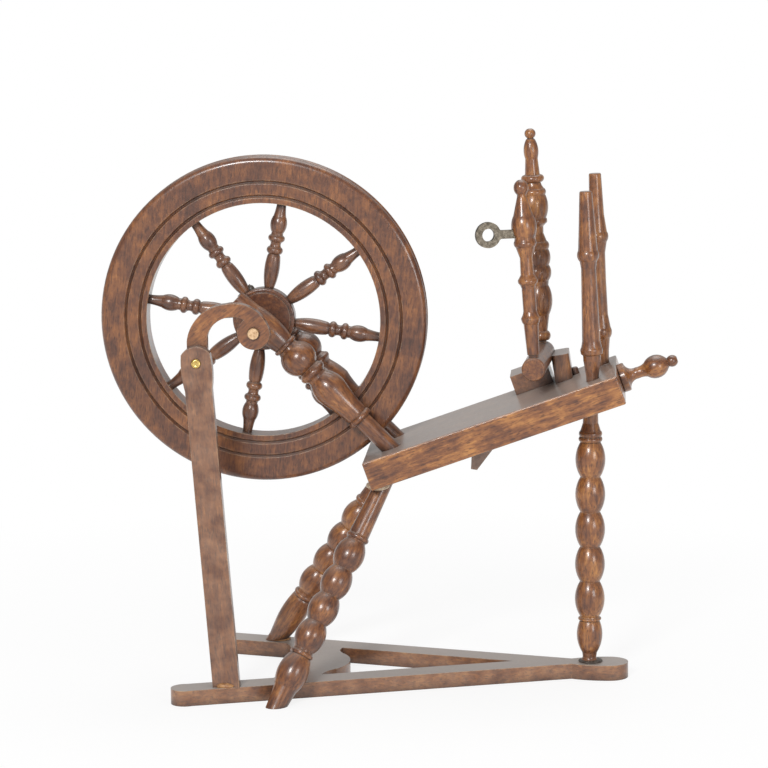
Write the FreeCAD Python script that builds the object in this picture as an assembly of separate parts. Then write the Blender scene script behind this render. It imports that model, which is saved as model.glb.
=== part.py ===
import FreeCAD, Part
import math
import os

os.makedirs("parts", exist_ok=True)
Vec = FreeCAD.Vector

# Miniature spinning wheel, millimetres. +X runs from the wheel to the flyer end,
# +Y is away from the crank side, Z = 0 is the surface it stands on.

# Fits
running = 0.05          # radial clearance of a piece that turns
glue = 0.02             # radial clearance of a glued tenon

# Wheel
wheelR = 27.3
rimInnerR = 19.55
rimWidth = 4.5
rimRound = 1.1          # rounding of the rim's outer corners
bandGroove = 0.45       # depth of the hollow for the drive band
ringGrooveRadii = (20.7, 23.05)
ringGroove = 0.32       # half width and depth of the turned rings
spokeCount = 8
spokeStart = -9.7       # degrees, first spoke
spokeTenonR = 0.78
spokeSocket = 1.2
hubR = 5.2
hubWidth = 3.4
hubFaceR = 4.5
hubFaceStep = 0.3
axleR = 0.9
axisX = -9.0
axisZ = 61.15

# Table
tableTilt = 19.1        # degrees, rising to the flyer end
tableLength = 44.3
tableDepth = 22.2
tableThick = 4.9
tableRound = 0.25
wheelGap = 0.9          # wheel rim to the table's corner
cornerAngle = -53.6     # direction of that corner from the axle

# Treadle board
boardThick = 2.6
boardLeft = -23.7       # left end of the near rail
farRailLeft = -20.8
boardMid = -1.1         # the board and front leg sit a little towards the crank side
railWide = 4.75         # each rail, measured across the object
railSlope = 0.2955      # how the rails spread, per unit of length
neckX = 42.0
neckHalf = 1.8
lobeHalf = 3.1
lobeRight = 51.5
plateLeft = -5.0
plateNearNotch = (0.4, -8.8)
plateFarNotch = (2.3, 6.6)
plateNose = (4.5, -0.9)

# Posts that carry the wheel
postOut = 5.2           # each side of the middle
postAlong = 4.75        # along the table top
postTenonR = 1.5
postSocket = 3.6
postHead = 5.7          # past the axle
postSwell = {-1: 2.75, 1: 2.4}

# Legs
frontLegX = 45.0
frontLegRake = 0.35     # top leans this far to the right
frontTenonR = 1.22
rearTenonR = 1.4
rearSocket = 1.5
frontSocket = 1.2       # stays below the tension knob's tenon
nearFoot = (-6.1, -21.3)
farFoot = (-9.6, 13.5)
nearLegTop = (1.9, -6.6)    # along and across the table
farLegTop = (1.9, 6.6)

# Crank, pin and footman
throwX = -9.25
throwZ = -4.6
armThick = 1.8
armBossR = 2.67
armHalf = 1.65
archRise = 4.75
archReach = 4.6
footmanFront = -19.1
footmanThick = 1.8
footmanHalf = 2.2
footmanHeadHalf = 2.5
footmanFootX = -14.55
footmanHead = 2.7       # above the pin
pinR = 0.45
pinHeadR = 0.75
pinHeadThick = 0.45
axleProud = 0.8

# Mother-of-all with its maidens
blockLeft = 26.6
blockNear = 4.6
blockFar = 11.9
blockHigh = 3.3
barAlong = 32.4
barR = 1.95
barHalf = 8.1
barSeat = barR * 0.12   # how deep the bar sits in the block
barTurn = 5.2           # degrees the bar is turned on the table
maidenOut = 6.6
maidenTenonR = 0.8
maidenTenon = 2.3
nearLean = 3.8          # degrees each maiden leans towards the wheel
farLean = 2.9
cheekLeft = 33.25
cheekWide = 3.0
cheekNear = 2.2
cheekDeep = 6.6
cheekHigh = 4.8
cheekLean = 9.0         # degrees from upright
cheekSunk = 2.0         # how far it is made below the table top before it is cut flush
cheekRound = 0.7
pegAlong = 37.1
pegOut = 5.6
pegR = 0.75
pegHigh = 1.2

# Flyer eye
eyeR = 2.13
eyeHoleR = 1.05
eyeThick = 0.7
eyeOut = 6.25           # eye centre from the maiden's axis
eyeTurn = 20.0          # degrees the eye is swung towards the crank side
eyeHigh = 20.4          # above the bar
shankHigh = 1.4

# Rear uprights and tension knob
nearUprightAlong = 40.2
farUprightAlong = 42.0
uprightOut = 6.2
uprightTenonR = 1.05
uprightSocket = 2.6
knobDown = 2.35         # below the table top
knobTenonR = 1.0
knobTenon = 6.0

# Key under the table
keyAlong = 17.3
keyLong = 4.6
keyHigh = 3.2
keyThick = 1.4
keyOut = 5.2            # towards the crank side
keyTip = 0.9            # its blunt lower end
keyHang = keyHigh * math.tan(math.radians(tableTilt))   # so that its left edge hangs straight down

allNodes = []


def save(shape, name):
    shape.exportStep(os.path.join("parts", name + ".step"))
    allNodes.append((name, shape))


def box(x0, x1, y0, y1, z0, z1):
    return Part.makeBox(x1 - x0, y1 - y0, z1 - z0, Vec(x0, y0, z0))


def rod(radius, start, end):
    run = end - start
    return Part.makeCylinder(radius, run.Length, start, run)


def turned(outline):
    """Solid of revolution about Z. A pair (z, r) is reached by a straight line,
    a group of four (midZ, midR, z, r) by an arc through its middle point."""
    first = outline[0]
    here = Vec(first[1], 0, first[0])
    edges = [Part.LineSegment(Vec(0, 0, first[0]), here).toShape()]
    for step in outline[1:]:
        there = Vec(step[-1], 0, step[-2])
        if len(step) == 4:
            middle = Vec(step[1], 0, step[0])
            edges.append(Part.Arc(here, middle, there).toShape())
        else:
            edges.append(Part.LineSegment(here, there).toShape())
        here = there
    top = Vec(0, 0, here.z)
    edges.append(Part.LineSegment(here, top).toShape())
    edges.append(Part.LineSegment(top, Vec(0, 0, first[0])).toShape())
    face = Part.Face(Part.Wire(edges))
    return face.revolve(Vec(0, 0, 0), Vec(0, 0, 1), 360)


def stand(shape, foot, towards):
    """Stands a shape that was turned about Z on foot, pointing towards a point."""
    shape = shape.copy()
    aim = FreeCAD.Rotation(Vec(0, 0, 1), towards - foot)
    shape.Placement = FreeCAD.Placement(foot, aim)
    return shape


def beads(start, pitch, count, radius, neck):
    """A row of round beads between necks, as steps of an outline."""
    return [(start + pitch * (i + 0.5), radius, start + pitch * (i + 1), neck)
            for i in range(count)]


def plate(wire, thick):
    """Upright plate from a closed outline in the XZ plane, thickened along +Y."""
    return Part.Face(wire).extrude(Vec(0, thick, 0))


# places
tilt = math.radians(tableTilt)
along = Vec(math.cos(tilt), 0, math.sin(tilt))
above = Vec(-math.sin(tilt), 0, math.cos(tilt))
axleAt = Vec(axisX, 0, axisZ)
cornerTurn = math.radians(cornerAngle)
tableCorner = axleAt + Vec(math.cos(cornerTurn), 0, math.sin(cornerTurn)) * (wheelR + wheelGap)
tableHalf = tableDepth / 2


def onTable(s, y, h):
    """Point s along the table, y across and h above its top."""
    return tableCorner + along * s + above * h + Vec(0, y, 0)


def tableBox(s0, s1, y0, y1, h0, h1):
    block = box(s0, s1, y0, y1, h0, h1)
    turn = FreeCAD.Rotation(Vec(0, 1, 0), -tableTilt)
    block.Placement = FreeCAD.Placement(tableCorner, turn)
    return block


# wheel
def makeRim():
    half = rimWidth / 2
    crown = wheelR - bandGroove
    lip = half - rimRound
    edges = [
        Part.LineSegment(Vec(rimInnerR, -half, 0), Vec(rimInnerR, half, 0)),
        Part.LineSegment(Vec(rimInnerR, half, 0), Vec(wheelR - rimRound, half, 0)),
        Part.Arc(Vec(wheelR - rimRound, half, 0),
                 Vec(wheelR - rimRound * 0.29, half - rimRound * 0.29, 0), Vec(wheelR, lip, 0)),
        Part.Arc(Vec(wheelR, lip, 0), Vec(crown, 0, 0), Vec(wheelR, -lip, 0)),
        Part.Arc(Vec(wheelR, -lip, 0),
                 Vec(wheelR - rimRound * 0.29, -half + rimRound * 0.29, 0),
                 Vec(wheelR - rimRound, -half, 0)),
        Part.LineSegment(Vec(wheelR - rimRound, -half, 0), Vec(rimInnerR, -half, 0)),
    ]
    face = Part.Face(Part.Wire([e.toShape() for e in edges]))
    rim = face.revolve(Vec(0, 0, 0), Vec(0, 1, 0), 360)
    for side in (-1, 1):
        for r in ringGrooveRadii:
            ends = [Vec(r - ringGroove, side * (half + 0.01), 0), Vec(r, side * (half - ringGroove), 0),
                    Vec(r + ringGroove, side * (half + 0.01), 0)]
            vee = Part.Face(Part.makePolygon(ends + ends[:1]))
            rim = rim.cut(vee.revolve(Vec(0, 0, 0), Vec(0, 1, 0), 360))
    return rim


def makeHub():
    half = hubWidth / 2
    step = half - hubFaceStep
    body = turned([(-half, hubFaceR), (-step, hubFaceR), (-step, hubR - 0.3),
                   (-step + 0.09, hubR - 0.09, -step + 0.3, hubR), (step - 0.3, hubR),
                   (step - 0.09, hubR - 0.09, step, hubR - 0.3), (step, hubFaceR), (half, hubFaceR)])
    body.rotate(Vec(0, 0, 0), Vec(1, 0, 0), 90)
    return body


def spokeOutline():
    """Turned spoke from the hub socket to the rim socket."""
    inner = hubR
    outer = rimInnerR
    span = outer - inner
    mid = inner + span * 0.52
    return [
        (inner - spokeSocket, spokeTenonR), (inner, spokeTenonR),
        (inner + 0.25, 0.86), (inner + 2.2, 1.22, mid - 2.1, 1.1),
        (mid - 1.7, 0.92), (mid - 1.1, 1.36, mid - 0.5, 1.0),
        (mid, 0.86, mid + 0.4, 1.0), (mid + 0.95, 1.4, mid + 1.5, 1.02),
        (mid + 1.9, 0.98), (mid + 3.1, 1.38, outer - 2.2, 1.05),
        (outer - 0.9, 0.84, outer, spokeTenonR), (outer + spokeSocket, spokeTenonR),
    ]


def makeWheel():
    rim = makeRim()
    hub = makeHub()
    spoke = turned(spokeOutline())
    spokes = []
    for i in range(spokeCount):
        angle = math.radians(spokeStart + i * 360 / spokeCount)
        way = Vec(math.cos(angle), 0, math.sin(angle))
        spokes.append(stand(spoke, Vec(0, 0, 0), way))
        hub = hub.cut(rod(spokeTenonR + glue, way * (hubR - spokeSocket), way * (hubR + 1)))
        rim = rim.cut(rod(spokeTenonR + glue, way * (rimInnerR - 1), way * (rimInnerR + spokeSocket)))
    hub = hub.cut(rod(axleR + glue, Vec(0, -hubWidth, 0), Vec(0, hubWidth, 0)))
    for i, piece in enumerate([rim, hub] + spokes):
        piece.translate(axleAt)
        name = ("wheel_rim", "wheel_hub")[i] if i < 2 else "spoke_%d" % (i - 1)
        save(piece, name)


armFront = footmanFront + footmanThick
axleFront = armFront - axleProud
axleBack = postOut + 3.2


def makeAxle():
    axle = turned([(0, axleR - 0.15), (0.05, axleR - 0.05, 0.2, axleR),
                   (axleBack - axleFront - 0.2, axleR),
                   (axleBack - axleFront - 0.05, axleR - 0.05, axleBack - axleFront, axleR - 0.15)])
    save(stand(axle, axleAt + Vec(0, axleFront, 0), axleAt + Vec(0, axleBack, 0)), "axle")


def axleBore(clearance=running):
    return rod(axleR + clearance, axleAt + Vec(0, axleFront - 2, 0), axleAt + Vec(0, axleBack + 2, 0))


# posts
def makePosts():
    """Two leaning posts: plain dowel, ring, swelling shaft, collar, ball and head."""
    posts = []
    for side in (-1, 1):
        foot = onTable(postAlong, side * postOut, 0)
        hole = axleAt + Vec(0, side * postOut, 0)
        swell = postSwell[side]
        reach = (hole - foot).Length
        outline = [
            (-postSocket, postTenonR), (6.3, postTenonR),
            (6.75, postTenonR), (7.25, 2.2, 7.75, postTenonR + 0.3),
            (8.1, 1.95), (11.6, swell - 0.4, reach - 16.4, swell),
            (reach - 14.3, swell - 0.25, reach - 13.1, 1.85), (reach - 12.7, 1.8),
            (reach - 12.3, 2.15), (reach - 11.8, 2.4, reach - 11.3, 2.1),
            (reach - 10.9, 1.8), (reach - 8.6, 3.02, reach - 6.4, 1.95),
            (reach - 5.9, 1.8), (reach - 5.5, 2.2, reach - 5.1, 1.9),
            (reach - 1.5, 2.3, reach + 2.2, 1.8), (reach + postHead, 1.45),
        ]
        post = stand(turned(outline), foot, hole).cut(axleBore())
        posts.append((post, foot, hole))
    save(posts[0][0], "near_wheel_post")
    save(posts[1][0], "far_wheel_post")
    return posts


# treadle board
def railOuter(x):
    return neckHalf + (neckX - x) * railSlope


def railInner(x):
    return railOuter(x) - railWide


def makeBoard():
    """Flat A-shaped board: two spreading rails, a foot plate and a rounded lobe."""
    endR = railWide / 2
    apex = neckX - (railWide - neckHalf) / railSlope
    lobeMid = (neckX + lobeRight) / 2

    def rail(side):
        left = boardLeft if side < 0 else farRailLeft
        mid = (railOuter(left + endR) + railInner(left + endR)) / 2 * side
        slabWire = Part.makePolygon([
            Vec(left + endR, side * railOuter(left + endR), 0), Vec(neckX, side * neckHalf, 0),
            Vec(neckX, 0, 0), Vec(apex, 0, 0),
            Vec(left + endR, side * railInner(left + endR), 0),
            Vec(left + endR, side * railOuter(left + endR), 0)])
        slab = Part.Face(slabWire).extrude(Vec(0, 0, boardThick))
        end = Part.makeCylinder(endR, boardThick, Vec(left + endR, mid, 0))
        return slab.fuse(end)

    lobeWire = Part.Wire([
        Part.LineSegment(Vec(neckX, neckHalf, 0), Vec(neckX, -neckHalf, 0)).toShape(),
        Part.Arc(Vec(neckX, -neckHalf, 0), Vec(lobeMid - 0.6, -lobeHalf + 0.1, 0),
                 Vec(lobeMid + 1.6, -lobeHalf, 0)).toShape(),
        Part.Arc(Vec(lobeMid + 1.6, -lobeHalf, 0), Vec(lobeRight, 0, 0),
                 Vec(lobeMid + 1.6, lobeHalf, 0)).toShape(),
        Part.Arc(Vec(lobeMid + 1.6, lobeHalf, 0), Vec(lobeMid - 0.6, lobeHalf - 0.1, 0),
                 Vec(neckX, neckHalf, 0)).toShape(),
    ])
    lobe = Part.Face(lobeWire).extrude(Vec(0, 0, boardThick))

    farX, farY = plateFarNotch
    nearX, nearY = plateNearNotch
    noseX, noseY = plateNose
    into = 1.0
    farRail = railInner(farX) + into
    nearRail = -railInner(nearX) - into
    leftRail = railInner(plateLeft) + into
    bay = 2.5
    plateWire = Part.Wire([
        Part.Arc(Vec(plateLeft - bay, -leftRail, 0), Vec(plateLeft, 0, 0),
                 Vec(plateLeft - bay, leftRail, 0)).toShape(),
        Part.LineSegment(Vec(plateLeft - bay, leftRail, 0), Vec(farX + 0.8, farRail, 0)).toShape(),
        Part.Arc(Vec(farX + 0.8, farRail, 0), Vec(farX, farY, 0), Vec(farX + 0.9, farY - 2.0, 0)).toShape(),
        Part.Arc(Vec(farX + 0.9, farY - 2.0, 0), Vec(noseX, noseY, 0),
                 Vec(nearX + 2.2, nearY + 3.2, 0)).toShape(),
        Part.Arc(Vec(nearX + 2.2, nearY + 3.2, 0), Vec(nearX + 0.6, nearY + 1.2, 0),
                 Vec(nearX, nearRail, 0)).toShape(),
        Part.LineSegment(Vec(nearX, nearRail, 0), Vec(plateLeft - bay, -leftRail, 0)).toShape(),
    ])
    footPlate = Part.Face(plateWire).extrude(Vec(0, 0, boardThick))
    board = rail(-1).fuse([rail(1), lobe, footPlate]).removeSplitter()
    board.translate(Vec(0, boardMid, 0))
    return board


# legs
def makeLegs(board):
    """Front leg on the lobe, near leg beside the near rail, far leg on the far rail."""
    legs = []
    up = boardThick
    top = onTable(0, 0, -tableThick)
    frontTop = Vec(frontLegX + frontLegRake, boardMid, 0)
    frontTop.z = top.z + (frontTop.x - top.x) * math.tan(tilt)
    frontFoot = Vec(frontLegX, boardMid, up)
    tall = (frontTop - frontFoot).Length
    pitch = 5.95
    start = 7.9
    ringAt = start + 5 * pitch
    front = [(0, 1.55), (0.25, 1.55), (0.5, 1.3, 0.9, 1.15), (1.6, 1.25),
             (5.0, 2.15, 6.9, 1.75), (7.2, 1.6), (7.45, 1.95, 7.7, 1.7), (start, 1.65)]
    front += beads(start, pitch, 5, 2.5, 1.65)
    front += [(ringAt + 0.45, 2.0, ringAt + 0.9, 1.75), (ringAt + 1.4, 1.95, ringAt + 1.9, 1.7),
              (ringAt + 3.2, 1.3), (tall, frontTenonR), (tall + frontSocket, frontTenonR)]
    legs.append(("front_leg", turned(front), frontFoot, frontTop))

    nearTop = onTable(nearLegTop[0], nearLegTop[1], -tableThick)
    nearAt = Vec(nearFoot[0], nearFoot[1], 0)
    tall = (nearTop - nearAt).Length
    start = 10.4
    ringAt = start + 4 * 4.95
    near = [(-2.0, 1.5), (0, 1.6), (3.4, 1.95), (6.9, 2.55, 9.0, 1.9), (9.2, 1.7),
            (9.6, 2.0, 10.0, 1.75), (start, 1.7)]
    near += beads(start, 4.95, 4, 2.52, 1.7)
    near += [(ringAt + 0.3, 1.65), (ringAt + 0.75, 1.95, ringAt + 1.2, 1.7), (tall, rearTenonR),
             (tall + rearSocket, rearTenonR)]
    legs.append(("near_rear_leg", turned(near), nearAt, nearTop))

    farTop = onTable(farLegTop[0], farLegTop[1], -tableThick)
    farAt = Vec(farFoot[0], farFoot[1], up)
    tall = (farTop - farAt).Length
    start = 11.0
    ringAt = start + 4 * 4.8
    far = [(-2.0, 1.5), (0.6, 1.55), (3.0, 1.95), (6.2, 2.25, 9.5, 1.95), (9.8, 1.75),
           (10.2, 2.05, 10.6, 1.8), (start, 1.75)]
    far += beads(start, 4.8, 4, 2.5, 1.75)
    far += [(ringAt + 0.3, 1.7), (ringAt + 0.75, 2.0, ringAt + 1.2, 1.75), (tall, rearTenonR),
            (tall + rearSocket, rearTenonR)]
    legs.append(("far_rear_leg", turned(far), farAt, farTop))

    floor = box(-200, 200, -200, 200, -50, 0)
    boardTop = box(-200, 200, -200, 200, -50, up)
    done = []
    for name, shape, foot, head in legs:
        piece = stand(shape, foot, head)
        piece = piece.cut(floor if name == "near_rear_leg" else boardTop)
        if name == "near_rear_leg":
            board = board.cut(piece)
        done.append((name, piece, foot, head))
    for name, piece, foot, head in done:
        save(piece, name)
    save(board, "treadle_board")
    return done


# crank and footman
pinAt = Vec(axisX + throwX, 0, axisZ + throwZ)


def makeCrank():
    """Hooked arm round the axle, with its lower end behind the footman."""
    boss = axleAt
    leftX = pinAt.x - armHalf
    rightX = pinAt.x + armHalf
    archTop = Vec(boss.x - archReach, 0, boss.z + archRise)
    notch = Vec(boss.x - 1.5, 0, boss.z + armBossR * 0.83)
    corner = armBossR * math.sqrt(0.5)
    spring = Vec(leftX, 0, boss.z - 1.2)
    outerBend = Vec(leftX + 2.1, 0, boss.z + 2.9)
    innerTop = Vec(boss.x - archReach + 0.1, 0, boss.z + armBossR - 0.1)
    bossRight = Vec(boss.x + armBossR, 0, boss.z)
    wire = Part.Wire([
        Part.LineSegment(Vec(leftX, 0, pinAt.z), spring).toShape(),
        Part.Arc(spring, outerBend, archTop).toShape(),
        Part.Arc(archTop, Vec(boss.x + 0.75, 0, boss.z + 3.4), bossRight).toShape(),
        Part.Arc(bossRight, Vec(boss.x - corner, 0, boss.z - corner), notch).toShape(),
        Part.Arc(notch, innerTop, Vec(rightX, 0, boss.z - 0.6)).toShape(),
        Part.LineSegment(Vec(rightX, 0, boss.z - 0.6), Vec(rightX, 0, pinAt.z)).toShape(),
        Part.Arc(Vec(rightX, 0, pinAt.z), Vec(pinAt.x, 0, pinAt.z - armHalf),
                 Vec(leftX, 0, pinAt.z)).toShape(),
    ])
    arm = plate(wire, armThick)
    arm.translate(Vec(0, armFront, 0))
    arm = arm.cut(axleBore())
    pinEnd = armFront + armThick * 0.7
    pin = turned([(0, 0.3), (0.12, pinHeadR, pinHeadThick, pinHeadR), (pinHeadThick, pinR),
                  (pinHeadThick + pinEnd - footmanFront, pinR)])
    head = pinAt + Vec(0, footmanFront - pinHeadThick, 0)
    pin = stand(pin, head, head + Vec(0, 1, 0))
    pinHole = rod(pinR + glue, pinAt + Vec(0, footmanFront - 1, 0), pinAt + Vec(0, pinEnd, 0))
    save(arm.cut(pinHole), "crank_arm")
    save(pin, "crank_pin")

    foot = Vec(footmanFootX, 0, boardThick)
    run = pinAt - foot
    lean = math.atan2(run.x, run.z)
    upWay = Vec(math.sin(lean), 0, math.cos(lean))
    sideWay = Vec(math.cos(lean), 0, -math.sin(lean))
    topMid = pinAt + upWay * footmanHead
    shoulder = pinAt + upWay * (footmanHead - 1.2)
    low = foot - upWay * 1.0
    waist = pinAt - upWay * 4.5
    sides = [[low + sideWay * side * footmanHalf, waist + sideWay * side * footmanHalf,
              pinAt + sideWay * side * footmanHeadHalf, shoulder + sideWay * side * footmanHeadHalf * 0.94]
             for side in (-1, 1)]
    left, right = sides
    wire = Part.Wire([
        Part.LineSegment(left[0], left[1]).toShape(),
        Part.Arc(left[1], left[2], left[3]).toShape(),
        Part.Arc(left[3], topMid, right[3]).toShape(),
        Part.Arc(right[3], right[2], right[1]).toShape(),
        Part.LineSegment(right[1], right[0]).toShape(),
        Part.LineSegment(right[0], left[0]).toShape(),
    ])
    footman = plate(wire, footmanThick)
    footman.translate(Vec(0, footmanFront, 0))
    footman = footman.cut(box(-200, 200, -200, 200, -50, boardThick)).cut(pinHole)
    save(footman, "footman")


# flyer end
def leanUp(foot, lean):
    """A point above foot along a line that leans left by the given degrees."""
    angle = math.radians(lean)
    return foot + Vec(-math.sin(angle), 0, math.cos(angle))


barAt = onTable(barAlong, 0, blockHigh + barR)
barWay = FreeCAD.Rotation(above, -barTurn).multVec(Vec(0, 1, 0))


def maidenFoot(side, lean):
    """Where a maiden's axis leaves the top of the bar."""
    centre = barAt + barWay * (side * maidenOut)
    return centre + (leanUp(centre, lean) - centre) * barR


def makeFlyerEnd():
    block = tableBox(blockLeft, cheekLeft - glue, blockNear, blockFar, 0, blockHigh)
    bar = rod(barR, barAt - barWay * barHalf, barAt + barWay * barHalf)
    bar = bar.makeChamfer(0.2, bar.Edges)
    bar.translate(above * -barSeat)
    block = block.cut(bar)

    near = [(-maidenTenon, maidenTenonR), (0.35, maidenTenonR), (0.35, 1.0),
            (5.4, 1.22), (5.9, 1.5, 6.4, 1.58), (6.9, 1.3), (7.5, 1.12), (11.4, 1.12), (12.0, 1.35),
            (12.5, 1.65, 13.0, 1.45), (13.6, 1.12), (16.4, 1.04), (18.2, 1.6), (18.6, 1.85, 19.2, 1.75),
            (19.5, 1.68), (19.75, 1.68), (21.3, 2.08, 23.4, 1.6), (26.4, 0.78), (26.8, 0.74),
            (28.1, 1.2, 29.2, 0.4)]
    far = [(-maidenTenon, maidenTenonR), (0.35, maidenTenonR), (0.35, 1.25), (1.3, 1.5, 1.9, 1.05),
           (4.6, 1.5), (7.9, 2.12, 9.3, 1.75), (9.6, 1.62), (10.4, 1.75), (11.8, 2.25, 13.0, 1.9),
           (14.4, 2.25, 15.7, 1.95), (16.4, 2.15, 17.1, 1.75), (18.4, 1.3), (19.6, 1.35),
           (20.2, 2.0), (20.6, 2.05, 21.0, 1.9), (23.1, 2.35, 24.9, 1.95), (25.5, 2.1, 26.0, 1.75),
           (26.5, 1.45), (27.0, 1.3), (27.8, 1.9, 28.3, 1.25), (31.0, 1.05), (33.2, 1.13, 34.2, 0.75),
           (34.4, 0.5), (35.2, 0.93, 36.0, 0.3)]
    bore = maidenTenonR + running
    for side, lean, outline, name in ((-1, nearLean, near, "near_maiden"), (1, farLean, far, "far_maiden")):
        foot = maidenFoot(side, lean) - above * barSeat
        up = leanUp(foot, lean)
        maiden = stand(turned(outline), foot, up)
        way = up - foot
        bar = bar.cut(rod(bore, foot - way * (maidenTenon + running), foot + way * 3))
        if side < 0:
            maiden, eye = fitEye(maiden, foot, way)
            for piece in (maiden, eye):
                piece.rotate(foot, way, eyeTurn)
            save(eye, "flyer_eye")
        save(maiden, name)
    save(bar, "mother_of_all_bar")
    save(block, "mother_of_all_block")

    cheek = Part.makeBox(cheekWide, cheekDeep, cheekHigh + cheekSunk)
    cheek = cheek.makeFillet(cheekRound, [e for e in cheek.Edges if abs(e.tangentAt(0).z) > 0.99])
    lean = FreeCAD.Rotation(Vec(0, 1, 0), -cheekLean)
    cheek.Placement = FreeCAD.Placement(onTable(cheekLeft, cheekNear, -cheekSunk), lean)
    cheek = cheek.cut(tableBox(-20, 80, -40, 40, -20, 0)).cut(bar).cut(block)
    save(cheek, "mother_of_all_cheek")
    peg = turned([(0, pegR), (pegHigh - 0.3, pegR), (pegHigh - 0.1, pegR - 0.1, pegHigh, pegR - 0.3)])
    foot = onTable(pegAlong, pegOut, 0)
    save(stand(peg, foot, foot + above).cut(cheek), "mother_of_all_peg")


def fitEye(maiden, foot, way):
    """Flat metal eye whose shank is let into the near maiden; returns both."""
    mid = foot + way * eyeHigh
    centre = mid - Vec(eyeOut, 0, 0)
    half = eyeThick / 2
    ring = rod(eyeR, centre - Vec(0, half, 0), centre + Vec(0, half, 0))
    inside = mid.x - 0.7
    shank = box(centre.x + eyeHoleR + 0.3, inside, centre.y - half, centre.y + half,
                centre.z - shankHigh / 2, centre.z + shankHigh / 2)
    eye = ring.fuse(shank)
    joint = [e for e in eye.Edges if abs(e.CenterOfMass.x - centre.x - 2.0) < 0.25
             and abs(e.tangentAt(e.FirstParameter).y) > 0.99]
    if joint:
        eye = eye.makeFillet(0.4, joint)
    eye = eye.cut(rod(eyeHoleR, centre - Vec(0, 2, 0), centre + Vec(0, 2, 0)))
    eye = eye.removeSplitter()
    slot = box(centre.x, inside + glue, centre.y - half - glue, centre.y + half + glue,
               centre.z - shankHigh / 2 - glue, centre.z + shankHigh / 2 + glue)
    return maiden.cut(slot), eye


def makeUprights():
    """Two plain-topped uprights with bamboo nodes."""
    outlines = {
        -1: [(-uprightSocket, uprightTenonR), (0.6, uprightTenonR), (3.2, 1.42), (4.1, 1.45),
             (4.3, 1.75, 4.6, 1.8), (5.0, 1.85, 5.4, 1.7), (6.4, 1.5), (13.0, 1.35), (18.4, 1.22),
             (19.6, 1.4), (20.5, 1.8, 21.4, 1.6), (25.0, 1.38), (30.9, 1.05), (31.1, 0.95)],
        1: [(-uprightSocket, uprightTenonR), (0.6, uprightTenonR), (2.2, 1.1), (4.4, 1.35), (5.2, 1.72, 6.2, 1.55),
            (8.4, 1.2), (13.8, 1.12), (18.8, 1.15), (20.7, 1.5), (21.4, 1.8, 22.4, 1.6),
            (25.2, 1.25), (32.0, 1.03), (32.2, 0.93)],
    }
    sockets = []
    for side, start, lean, name in ((-1, nearUprightAlong, 1.9, "near_upright"),
                                    (1, farUprightAlong, 2.25, "far_upright")):
        foot = onTable(start, side * uprightOut, 0)
        up = leanUp(foot, lean)
        save(stand(turned(outlines[side]), foot, up), name)
        way = up - foot
        sockets.append(rod(uprightTenonR + glue, foot - way * uprightSocket, foot + way * 2))
    return sockets


def makeKnob():
    foot = onTable(tableLength, 0, -knobDown)
    knob = turned([
        (-knobTenon, knobTenonR), (0, knobTenonR), (0, 2.35), (0.15, 2.42), (0.95, 2.42),
        (1.15, 2.3), (1.5, 1.45, 2.9, 0.98), (3.6, 0.96, 4.4, 1.2), (6.3, 1.95, 8.0, 1.05),
        (8.3, 0.72), (9.1, 0.98, 9.9, 0.45)])
    knob.translate(Vec(0, 0, running))
    save(stand(knob, foot, foot + along), "tension_knob")
    return rod(knobTenonR + running, foot - along * knobTenon, foot + along)


def makeKey():
    """Tapered key that hangs under the table."""
    points = [onTable(keyAlong, 0, -tableThick), onTable(keyAlong + keyLong, 0, -tableThick),
              onTable(keyAlong + keyTip - keyHang, 0, -tableThick - keyHigh),
              onTable(keyAlong - keyHang, 0, -tableThick - keyHigh * 0.85)]
    key = plate(Part.makePolygon(points + points[:1]), keyThick)
    key.translate(Vec(0, -keyOut - keyThick / 2, 0))
    save(key, "table_key")


def makeTable(posts, legs, sockets):
    table = tableBox(0, tableLength, -tableHalf, tableHalf, -tableThick, 0)
    table = table.makeFillet(tableRound, table.Edges)
    for post, foot, hole in posts:
        way = (hole - foot).normalize()
        table = table.cut(rod(postTenonR + glue, foot - way * postSocket, foot + way * 2))
    for name, piece, foot, head in legs:
        way = (head - foot).normalize()
        deep = frontSocket if name == "front_leg" else rearSocket
        radius = frontTenonR if name == "front_leg" else rearTenonR
        table = table.cut(rod(radius + glue, head - way * 2, head + way * deep)).cut(piece)
    for socket in sockets:
        table = table.cut(socket)
    save(table, "table")


makeWheel()
makeAxle()
posts = makePosts()
legs = makeLegs(makeBoard())
makeCrank()
makeFlyerEnd()
sockets = makeUprights()
sockets.append(makeKnob())
makeKey()
makeTable(posts, legs, sockets)

for name, shape in allNodes:
    corner = shape.BoundBox
    print("%-22s solids %d  valid %s  z %.2f to %.2f" % (name, len(shape.Solids), shape.isValid(),
                                                        corner.ZMin, corner.ZMax))
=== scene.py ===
import bpy
import math
import numpy
from mathutils import Matrix, Vector


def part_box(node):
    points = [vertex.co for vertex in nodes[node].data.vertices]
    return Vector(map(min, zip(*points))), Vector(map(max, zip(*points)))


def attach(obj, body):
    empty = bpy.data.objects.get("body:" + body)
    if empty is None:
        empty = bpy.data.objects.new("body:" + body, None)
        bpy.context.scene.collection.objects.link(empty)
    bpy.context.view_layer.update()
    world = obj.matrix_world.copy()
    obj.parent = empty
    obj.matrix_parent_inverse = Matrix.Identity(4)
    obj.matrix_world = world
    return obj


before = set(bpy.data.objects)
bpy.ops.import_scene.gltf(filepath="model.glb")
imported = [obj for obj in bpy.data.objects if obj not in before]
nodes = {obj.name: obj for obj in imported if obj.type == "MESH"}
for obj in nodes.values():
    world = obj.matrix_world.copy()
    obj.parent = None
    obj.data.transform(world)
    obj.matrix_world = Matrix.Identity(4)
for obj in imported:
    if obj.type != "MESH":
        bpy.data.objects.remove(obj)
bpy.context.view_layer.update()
mm = 0.001
print("frame loaded with", len(nodes), "pieces")


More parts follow.
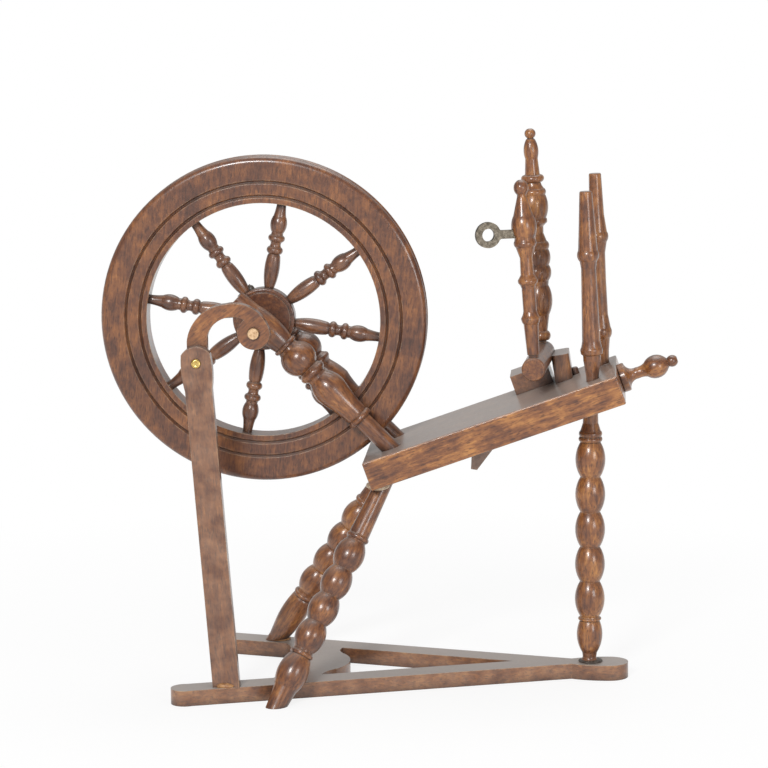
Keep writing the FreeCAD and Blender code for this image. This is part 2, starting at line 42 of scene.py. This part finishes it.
def deselectAll():
    if bpy.context.object and bpy.context.object.mode != "OBJECT":
        bpy.ops.object.mode_set(mode="OBJECT")
    bpy.ops.object.select_all(action="DESELECT")


def lengthwise(name):
    # direction of a long piece, from the spread of its points
    mesh = nodes[name].data
    points = numpy.empty(len(mesh.vertices) * 3)
    mesh.vertices.foreach_get("co", points)
    points = points.reshape(-1, 3)
    values, ways = numpy.linalg.eigh(numpy.cov(points.T))
    way = Vector(ways[:, 2])
    return way if way.z >= 0 else -way


# camera, low and nearly square to the wheel
cameraSetup = {
    "target": (11.0 * mm, -2.0 * mm, 50.25 * mm),
    "azimuth": 4.0,
    "elevation": 9.5,
    "roll": -0.83,
    "distance": 533.33 * mm,
    "lens": 150,
}


def makeCamera():
    az = math.radians(cameraSetup["azimuth"])
    el = math.radians(cameraSetup["elevation"])
    roll = math.radians(cameraSetup["roll"])
    back = Vector((math.sin(az) * math.cos(el), -math.cos(az) * math.cos(el), math.sin(el)))
    right = Vector((0, 0, 1)).cross(back).normalized()
    up = back.cross(right)
    turnedRight = right * math.cos(roll) + up * math.sin(roll)
    turnedUp = up * math.cos(roll) - right * math.sin(roll)
    place = Matrix((turnedRight, turnedUp, back)).transposed().to_4x4()
    place.translation = Vector(cameraSetup["target"]) + back * cameraSetup["distance"]
    data = bpy.data.cameras.new("camera")
    data.lens = cameraSetup["lens"]
    data.sensor_width = 36
    data.clip_start = 0.01
    camera = bpy.data.objects.new("camera", data)
    camera.matrix_world = place
    bpy.context.collection.objects.link(camera)
    bpy.context.scene.camera = camera


makeCamera()


# node helpers
def newMaterial(name):
    material = bpy.data.materials.new(name)
    material.use_nodes = True
    tree = material.node_tree
    shader = tree.nodes["Principled BSDF"]
    return material, tree, shader


def addNode(tree, kind, **settings):
    node = tree.nodes.new(kind)
    for key, value in settings.items():
        setattr(node, key, value)
    return node


def mathNode(tree, operation, first, second=None, clamp=False):
    node = addNode(tree, "ShaderNodeMath", operation=operation, use_clamp=clamp)
    for i, value in enumerate((first, second)):
        if value is None:
            continue
        if isinstance(value, (int, float)):
            node.inputs[i].default_value = value
        else:
            tree.links.new(value, node.inputs[i])
    return node.outputs[0]


def noiseNode(tree, vector, scale, detail=3, roughness=0.55):
    node = addNode(tree, "ShaderNodeTexNoise")
    node.inputs["Scale"].default_value = scale
    node.inputs["Detail"].default_value = detail
    node.inputs["Roughness"].default_value = roughness
    tree.links.new(vector, node.inputs["Vector"])
    return node.outputs["Fac"]


def rampNode(tree, value, stops):
    node = addNode(tree, "ShaderNodeValToRGB")
    ramp = node.color_ramp
    while len(ramp.elements) < len(stops):
        ramp.elements.new(0.5)
    for element, (place, colour) in zip(ramp.elements, stops):
        element.position = place
        element.color = (*colour, 1)
    tree.links.new(value, node.inputs["Fac"])
    return node.outputs["Color"]


def maskNode(tree, value, start, end, falling=False):
    first, last = (1, 0) if falling else (0, 1)
    return rampNode(tree, value, [(start, (first,) * 3), (end, (last,) * 3)])


def mixNode(tree, amount, first, second, blend="MIX"):
    node = addNode(tree, "ShaderNodeMix", data_type="RGBA", blend_type=blend)
    for socket, value in ((node.inputs["Factor"], amount), (node.inputs["A"], first),
                          (node.inputs["B"], second)):
        target = socket
        if socket.name in ("A", "B"):
            target = [s for s in node.inputs if s.name == socket.name and s.type == "RGBA"][0]
        if isinstance(value, (int, float)):
            target.default_value = value
        elif isinstance(value, tuple):
            target.default_value = (*value, 1)
        else:
            tree.links.new(value, target)
    return [s for s in node.outputs if s.type == "RGBA"][0]


def objectCoords(tree):
    return addNode(tree, "ShaderNodeTexCoord").outputs["Object"]


def mapNode(tree, vector, scale=(1, 1, 1), location=(0, 0, 0), rotation=(0, 0, 0)):
    node = addNode(tree, "ShaderNodeMapping")
    node.inputs["Scale"].default_value = scale
    node.inputs["Location"].default_value = location
    node.inputs["Rotation"].default_value = rotation
    tree.links.new(vector, node.inputs["Vector"])
    return node.outputs["Vector"]


# how far a pattern slides along each axis, so that it doesn't repeat from piece to piece
slideShares = (1.0, 0.7, 1.3)
perMetre = 1 / mm


def wholeSpace(tree, vector, shift):
    # millimetres, unstretched
    return mapNode(tree, vector, (perMetre,) * 3, (shift,) * 3)


def grainSpace(tree, grain, stretch, shift):
    # millimetres, turned so that Z runs with the grain: once drawn out along it, once not
    upright = Vector(grain).rotation_difference(Vector((0, 0, 1))).to_euler()
    turned = mapNode(tree, objectCoords(tree), rotation=upright)
    slide = [shift * share for share in slideShares]
    fine = mapNode(tree, turned, (perMetre, perMetre, perMetre * stretch), slide)
    return fine, wholeSpace(tree, turned, shift)


stain = {
    "deep": (0.040, 0.014, 0.008),
    "body": (0.112, 0.038, 0.016),
    "warm": (0.225, 0.082, 0.025),
    "glow": (0.430, 0.185, 0.050),
    # grey for what faces up: partly dust, partly painted reflection
    "grey": (0.400, 0.350, 0.315),
    "haze": (0.290, 0.200, 0.150),
    "bare": (0.560, 0.400, 0.250),
    # painted shade colour for the hollows
    "creviceShade": (0.016, 0.008, 0.006),
    "toneStops": (0.22, 0.42, 0.60, 0.82),
    "grainScale": 1.9,
    "grainWeight": 0.62,
    "patchScale": 0.30,
    "patchWeight": 0.62,
    "mottleScale": 1.3,
    "mottleWeight": 0.22,
    "poreScale": 5.0,
    "poreEdge": (0.34, 0.44),
    "poreDepth": 0.6,
    "rubScale": 0.75,
    "rubEdge": (0.38, 0.60),
    "creviceEdge": (0.35, 0.85),
    "exposedEdge": (0.6, 0.95),
    "upwardEdge": (0.55, 1.0),
    "edgeGain": 9.0,
    "stretch": 0.17,
    "roughness": 0.34,
    "bumpStrength": 0.35,
    "bumpDepth": 0.09 * mm,
    "coat": 0.55,
    "coatRoughness": 0.16,
    "edgeRadius": 0.22 * mm,
    "creviceReach": 2.2 * mm,
}


def stainedWood(name, grain, warmth=0.5, wear=0.5, creviceShade=0.85, shift=0.0, figure=1.0, dustAndSheen=0.35,
                haze=0.0):
    material, tree, shader = newMaterial(name)
    fine, whole = grainSpace(tree, grain, stain["stretch"], shift)
    grainFac = noiseNode(tree, fine, stain["grainScale"], 5, 0.62)
    patch = noiseNode(tree, whole, stain["patchScale"], 3)
    mottle = noiseNode(tree, whole, stain["mottleScale"], 4, 0.6)
    tone = mathNode(tree, "ADD", mathNode(tree, "MULTIPLY", grainFac, stain["grainWeight"] * figure),
                    mathNode(tree, "MULTIPLY", patch, stain["patchWeight"]))
    tone = mathNode(tree, "ADD", tone, mathNode(tree, "MULTIPLY", mottle, stain["mottleWeight"]))
    # half of each noise is its mean, so a stronger figure is brought back to the same tone
    tone = mathNode(tree, "ADD", tone, (warmth - 0.5) * 0.5 - 0.31 * (figure - 1) - 0.20)
    shades = [stain[shade] for shade in ("deep", "body", "warm", "glow")]
    colour = rampNode(tree, tone, list(zip(stain["toneStops"], shades)))
    pores = noiseNode(tree, fine, stain["poreScale"], 2, 0.5)
    poreMask = maskNode(tree, pores, *stain["poreEdge"], falling=True)
    colour = mixNode(tree, mathNode(tree, "MULTIPLY", poreMask, stain["poreDepth"]), colour, stain["deep"])

    if haze:
        clouds = rampNode(tree, patch, [(0.35, (0.3, 0.3, 0.3)), (0.65, (1, 1, 1))])
        colour = mixNode(tree, mathNode(tree, "MULTIPLY", clouds, haze), colour, stain["haze"])

    # painted shade: the turned hollows are darkened by an ambient occlusion mask
    crevice = addNode(tree, "ShaderNodeAmbientOcclusion", samples=6)
    crevice.inputs["Distance"].default_value = stain["creviceReach"]
    dark = maskNode(tree, crevice.outputs["AO"], *stain["creviceEdge"], falling=True)
    colour = mixNode(tree, mathNode(tree, "MULTIPLY", dark, creviceShade), colour, stain["creviceShade"])

    # pale worn edges
    bevel = addNode(tree, "ShaderNodeBevel", samples=6)
    bevel.inputs["Radius"].default_value = stain["edgeRadius"]
    geometry = addNode(tree, "ShaderNodeNewGeometry")
    facing = addNode(tree, "ShaderNodeVectorMath", operation="DOT_PRODUCT")
    tree.links.new(bevel.outputs["Normal"], facing.inputs[0])
    tree.links.new(geometry.outputs["Normal"], facing.inputs[1])
    bend = mathNode(tree, "SUBTRACT", 1.0, facing.outputs["Value"])
    edge = mathNode(tree, "MULTIPLY", bend, stain["edgeGain"], True)
    rubbed = noiseNode(tree, whole, stain["rubScale"], 4, 0.65)
    edge = mathNode(tree, "MULTIPLY", edge, maskNode(tree, rubbed, *stain["rubEdge"]))
    exposed = maskNode(tree, crevice.outputs["AO"], *stain["exposedEdge"])
    edge = mathNode(tree, "MULTIPLY", mathNode(tree, "MULTIPLY", edge, exposed), wear)
    colour = mixNode(tree, edge, colour, stain["bare"])

    # a grey on what faces up: partly a bloom of dust and lacquer, partly a painted reflection of the white
    # surroundings
    split = addNode(tree, "ShaderNodeSeparateXYZ")
    tree.links.new(geometry.outputs["Normal"], split.inputs[0])
    upward = maskNode(tree, split.outputs["Z"], *stain["upwardEdge"])
    colour = mixNode(tree, mathNode(tree, "MULTIPLY", upward, dustAndSheen), colour, stain["grey"])
    tree.links.new(colour, shader.inputs["Base Color"])

    rough = mathNode(tree, "ADD", mathNode(tree, "MULTIPLY", mottle, 0.22), stain["roughness"] - 0.10)
    rough = mathNode(tree, "ADD", rough, mathNode(tree, "MULTIPLY", dark, 0.25))
    tree.links.new(rough, shader.inputs["Roughness"])
    shader.inputs["Coat Weight"].default_value = stain["coat"]
    shader.inputs["Coat Roughness"].default_value = stain["coatRoughness"]

    height = mathNode(tree, "ADD", mathNode(tree, "MULTIPLY", pores, 0.5),
                      mathNode(tree, "ADD", mathNode(tree, "MULTIPLY", grainFac, 0.6),
                               mathNode(tree, "MULTIPLY", mottle, 0.5)))
    bump = addNode(tree, "ShaderNodeBump")
    bump.inputs["Strength"].default_value = stain["bumpStrength"]
    bump.inputs["Distance"].default_value = stain["bumpDepth"]
    tree.links.new(height, bump.inputs["Height"])
    tree.links.new(bevel.outputs["Normal"], bump.inputs["Normal"])
    tree.links.new(bump.outputs["Normal"], shader.inputs["Normal"])
    return material


def bareWood(name, grain):
    material, tree, shader = newMaterial(name)
    fine, whole = grainSpace(tree, grain, 0.15, 3.0)
    rings = noiseNode(tree, whole, 2.2, 4)
    colour = rampNode(tree, rings, [(0.3, (0.34, 0.19, 0.09)), (0.5, (0.58, 0.38, 0.21)),
                                    (0.75, (0.72, 0.53, 0.33))])
    tree.links.new(colour, shader.inputs["Base Color"])
    rough = mathNode(tree, "ADD", mathNode(tree, "MULTIPLY", rings, 0.25), 0.5)
    tree.links.new(rough, shader.inputs["Roughness"])
    bump = addNode(tree, "ShaderNodeBump")
    bump.inputs["Strength"].default_value = 0.5
    bump.inputs["Distance"].default_value = 0.08 * mm
    tree.links.new(noiseNode(tree, fine, 5, 3), bump.inputs["Height"])
    tree.links.new(bump.outputs["Normal"], shader.inputs["Normal"])
    return material


def metal(name, colour, tarnish, roughness, dent):
    material, tree, shader = newMaterial(name)
    whole = wholeSpace(tree, objectCoords(tree), 1.0)
    spots = noiseNode(tree, whole, 1.6, 4, 0.65)
    mixed = mixNode(tree, maskNode(tree, spots, 0.4, 0.65), colour, tarnish)
    tree.links.new(mixed, shader.inputs["Base Color"])
    shader.inputs["Metallic"].default_value = 1.0
    rough = mathNode(tree, "ADD", mathNode(tree, "MULTIPLY", spots, 0.3), roughness - 0.15)
    tree.links.new(rough, shader.inputs["Roughness"])
    bump = addNode(tree, "ShaderNodeBump")
    bump.inputs["Strength"].default_value = dent
    bump.inputs["Distance"].default_value = 0.12 * mm
    tree.links.new(noiseNode(tree, whole, 2.4, 2), bump.inputs["Height"])
    tree.links.new(bump.outputs["Normal"], shader.inputs["Normal"])
    return material


def dress(name, material):
    mesh = nodes[name].data
    mesh.materials.clear()
    mesh.materials.append(material)


# which way the grain runs and how each piece is finished
turnedPieces = {
    "front_leg": {"warmth": 0.60, "wear": 0.3, "figure": 1.3},
    "near_rear_leg": {"warmth": 0.44, "wear": 0.4, "figure": 1.2},
    "far_rear_leg": {"warmth": 0.58, "wear": 0.3},
    "near_wheel_post": {"warmth": 0.47, "wear": 0.3, "figure": 1.2},
    "far_wheel_post": {"warmth": 0.42, "wear": 0.2},
    "near_maiden": {"warmth": 0.56, "wear": 0.3, "figure": 1.3},
    "far_maiden": {"warmth": 0.68, "wear": 0.3, "figure": 1.3},
    "near_upright": {"warmth": 0.50, "wear": 0.3, "figure": 1.2},
    "far_upright": {"warmth": 0.68, "wear": 0.3, "figure": 1.2},
    "tension_knob": {"warmth": 0.64, "wear": 0.3, "figure": 1.4},
}
for i, (name, finish) in enumerate(turnedPieces.items()):
    dress(name, stainedWood(name + "_wood", lengthwise(name), shift=i * 7.3, **finish))
spokeCount = 8
spokeFinish = {"warmth": 0.36, "wear": 0.35, "haze": 0.15}
for i in range(spokeCount):
    name = "spoke_%d" % (i + 1)
    dress(name, stainedWood(name + "_wood", lengthwise(name), shift=i * 5.1, **spokeFinish))
tableWay = lengthwise("table")
# the tops of the flat pieces get a grey that is partly dust, partly painted reflection
flatPieces = {
    "table": {"grain": tableWay, "warmth": 0.62, "wear": 0.95, "figure": 1.5, "dustAndSheen": 0.85},
    "treadle_board": {"grain": (1, 0, 0), "warmth": 0.60, "wear": 0.8, "dustAndSheen": 0.9, "haze": 0.35},
    "footman": {"grain": lengthwise("footman"), "warmth": 0.46, "wear": 0.6, "haze": 0.35, "figure": 0.8},
    "crank_arm": {"grain": (0.8, 0, 0.6), "warmth": 0.52, "wear": 0.6},
    "mother_of_all_block": {"grain": (0, 1, 0), "warmth": 0.48, "wear": 0.4, "dustAndSheen": 0.8, "haze": 0.25},
    "mother_of_all_bar": {"grain": (0, 1, 0), "warmth": 0.50, "wear": 0.5},
    "mother_of_all_cheek": {"grain": (0, 0, 1), "warmth": 0.56, "wear": 0.5, "dustAndSheen": 0.8, "haze": 0.2},
    "mother_of_all_peg": {"grain": (0, 0, 1), "warmth": 0.3, "wear": 0.2},
    "table_key": {"grain": tableWay, "warmth": 0.3, "wear": 0.3, "haze": 0.8},
    # the rim's grooves get the full painted shade
    "wheel_rim": {"grain": (0.1, 0, 1), "warmth": 0.37, "wear": 0.7, "creviceShade": 1.0, "figure": 0.9},
    "wheel_hub": {"grain": (0, 1, 0), "warmth": 0.30, "wear": 0.35},
}
for i, (name, finish) in enumerate(flatPieces.items()):
    dress(name, stainedWood(name + "_wood", finish.pop("grain"), shift=40 + i * 9.7, **finish))
dress("axle", bareWood("axle_wood", (0, 1, 0)))
dress("crank_pin", metal("pin_brass", (0.85, 0.62, 0.22), (0.55, 0.36, 0.10), 0.25, 0.8))
dress("flyer_eye", metal("eye_bronze", (0.19, 0.165, 0.13), (0.10, 0.085, 0.065), 0.45, 0.3))
print("finishes done")


# swell of a lump's surface and grain of its unevenness, as shares of its radii
lumpShape = {"swell": 0.44, "grain": 0.55}


def roughLump(name, place, radii, colour, body):
    # a hand-dabbed drop: a fine ball pressed flat and pushed about by a cloud texture
    deselectAll()
    bpy.ops.mesh.primitive_ico_sphere_add(subdivisions=4, radius=1)
    lump = bpy.context.object
    lump.name = name
    bpy.ops.object.mode_set(mode="EDIT")
    bpy.ops.mesh.select_all(action="SELECT")
    bpy.ops.transform.resize(value=tuple(r * mm for r in radii), center_override=(0, 0, 0))
    bpy.ops.transform.translate(value=place)
    bpy.ops.object.mode_set(mode="OBJECT")
    clouds = bpy.data.textures.new(name + "_clouds", "CLOUDS")
    clouds.noise_scale = max(radii) * mm * lumpShape["grain"]
    push = lump.modifiers.new("uneven", "DISPLACE")
    push.texture = clouds
    push.texture_coords = "LOCAL"
    push.strength = min(radii) * mm * lumpShape["swell"]
    bpy.ops.object.modifier_apply(modifier="uneven")
    bpy.ops.object.shade_smooth()
    material = bpy.data.materials.get(colour) or glueFinish(colour)
    lump.data.materials.append(material)
    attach(lump, body)


glueColours = {
    "glue_pale": ((0.52, 0.42, 0.30), (0.30, 0.19, 0.11)),
    "glue_amber": ((0.42, 0.22, 0.09), (0.22, 0.09, 0.035)),
    "glue_dark": ((0.10, 0.085, 0.07), (0.035, 0.02, 0.014)),
}


def glueFinish(name):
    pale, dark = glueColours[name]
    material, tree, shader = newMaterial(name)
    whole = wholeSpace(tree, objectCoords(tree), 2.0)
    clouds = noiseNode(tree, whole, 1.8, 4, 0.65)
    tree.links.new(rampNode(tree, clouds, [(0.35, dark), (0.62, pale)]), shader.inputs["Base Color"])
    rough = mathNode(tree, "ADD", mathNode(tree, "MULTIPLY", clouds, 0.4), 0.2)
    tree.links.new(rough, shader.inputs["Roughness"])
    bump = addNode(tree, "ShaderNodeBump")
    bump.inputs["Strength"].default_value = 0.5
    bump.inputs["Distance"].default_value = 0.1 * mm
    tree.links.new(noiseNode(tree, whole, 3.5, 3), bump.inputs["Height"])
    tree.links.new(bump.outputs["Normal"], shader.inputs["Normal"])
    return material


# a spot given as shares of a piece's box, then moved by an offset in millimetres
def atBox(name, x, y, z, offset=(0, 0, 0)):
    low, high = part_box(name)
    spot = [low[i] + (high[i] - low[i]) * part for i, part in enumerate((x, y, z))]
    return tuple(spot[i] + offset[i] * mm for i in range(3))


# dabs of glue at the joints, and a splinter at the hub
lumps = {
    "glue_near_leg_top": {"place": atBox("near_rear_leg", 0.865, 0.80, 0.94), "radii": (2.0, 1.9, 0.75),
                          "colour": "glue_pale", "body": "frame"},
    "glue_footman_foot": {"place": atBox("footman", 0.72, 0.0, 0.0, (0, 0.1, 0.25)),
                          "radii": (1.5, 0.7, 0.5), "colour": "glue_amber", "body": "frame"},
    "glue_front_leg_foot": {"place": atBox("front_leg", 0.5, 0.5, 0.0, (0, 0, 0.15)),
                            "radii": (2.0, 2.0, 0.35), "colour": "glue_dark", "body": "frame"},
    "glue_far_leg_foot": {"place": atBox("far_rear_leg", 0.10, 0.86, 0.0, (0, 0, 0.2)),
                          "radii": (2.0, 1.8, 0.4), "colour": "glue_amber", "body": "frame"},
    "hub_splinter": {"place": atBox("wheel_hub", 0.27, 0.80, 0.955), "radii": (0.7, 0.5, 0.75),
                     "colour": "glue_dark", "body": "wheel"},
}
for name, lump in lumps.items():
    roughLump(name, **lump)
print("glue and splinters done")


# floor, world and lamps
floorSetup = {
    "size": 4,
    "height": -0.02 * mm,
    "white": 0.93,
    "roughness": 0.9,
    "fadeFrom": 0.04,
    "fadeTo": 0.14,
    "glowNear": 0.84,
    "glowFar": 1.0,
}


def makeFloor():
    # the floor takes the piece's shadow and goes to plain white away from it
    deselectAll()
    bpy.ops.mesh.primitive_plane_add(size=floorSetup["size"], location=(0, 0, floorSetup["height"]))
    floor = bpy.context.object
    floor.name = "floor"
    material, tree, shader = newMaterial("floor_white")
    shader.inputs["Base Color"].default_value = (*(floorSetup["white"],) * 3, 1)
    shader.inputs["Roughness"].default_value = floorSetup["roughness"]
    glow = addNode(tree, "ShaderNodeEmission")
    rays = addNode(tree, "ShaderNodeLightPath")
    seen = mathNode(tree, "MAXIMUM", rays.outputs["Is Camera Ray"], rays.outputs["Is Glossy Ray"])
    reach = addNode(tree, "ShaderNodeVectorMath", operation="LENGTH")
    tree.links.new(objectCoords(tree), reach.inputs[0])
    fade = addNode(tree, "ShaderNodeMapRange")
    tree.links.new(reach.outputs["Value"], fade.inputs["Value"])
    fade.inputs["From Min"].default_value = floorSetup["fadeFrom"]
    fade.inputs["From Max"].default_value = floorSetup["fadeTo"]
    fade.inputs["To Min"].default_value = floorSetup["glowNear"]
    fade.inputs["To Max"].default_value = floorSetup["glowFar"]
    amount = mathNode(tree, "MULTIPLY", seen, fade.outputs["Result"])
    blend = addNode(tree, "ShaderNodeMixShader")
    tree.links.new(amount, blend.inputs[0])
    tree.links.new(shader.outputs[0], blend.inputs[1])
    tree.links.new(glow.outputs[0], blend.inputs[2])
    tree.links.new(blend.outputs[0], tree.nodes["Material Output"].inputs["Surface"])
    floor.data.materials.append(material)


worldLight = {"glossy": 0.45, "ambient": 0.42}


def makeWorld():
    world = bpy.data.worlds.new("studio")
    bpy.context.scene.world = world
    world.use_nodes = True
    tree = world.node_tree
    background = tree.nodes["Background"]
    background.inputs["Color"].default_value = (1, 1, 1, 1)
    rays = addNode(tree, "ShaderNodeLightPath")
    seen = mathNode(tree, "MAXIMUM", rays.outputs["Is Camera Ray"], rays.outputs["Is Transmission Ray"])
    glossy = mathNode(tree, "MULTIPLY", rays.outputs["Is Glossy Ray"], worldLight["glossy"])
    strength = mathNode(tree, "MAXIMUM", seen, glossy)
    strength = mathNode(tree, "MAXIMUM", strength, worldLight["ambient"])
    tree.links.new(strength, background.inputs["Strength"])


lamps = {
    "key": {"place": (-0.10, -0.46, 0.30), "size": 0.11, "power": 1.7},
    "fill": {"place": (0.34, -0.44, 0.14), "size": 0.16, "power": 0.7},
    "top": {"place": (0.05, 0.15, 0.55), "size": 0.35, "power": 0.9},
}
lampAim = Vector((0.01, 0, 0.045))


def makeLamps():
    for name, lamp in lamps.items():
        data = bpy.data.lights.new(name, "AREA")
        data.shape = "SQUARE"
        data.size = lamp["size"]
        data.energy = lamp["power"]
        obj = bpy.data.objects.new(name, data)
        obj.location = lamp["place"]
        aim = lampAim - obj.location
        obj.rotation_euler = aim.to_track_quat("-Z", "Y").to_euler()
        bpy.context.collection.objects.link(obj)


makeFloor()
makeWorld()
makeLamps()
bpy.context.scene.view_settings.view_transform = "Standard"
print("studio done")
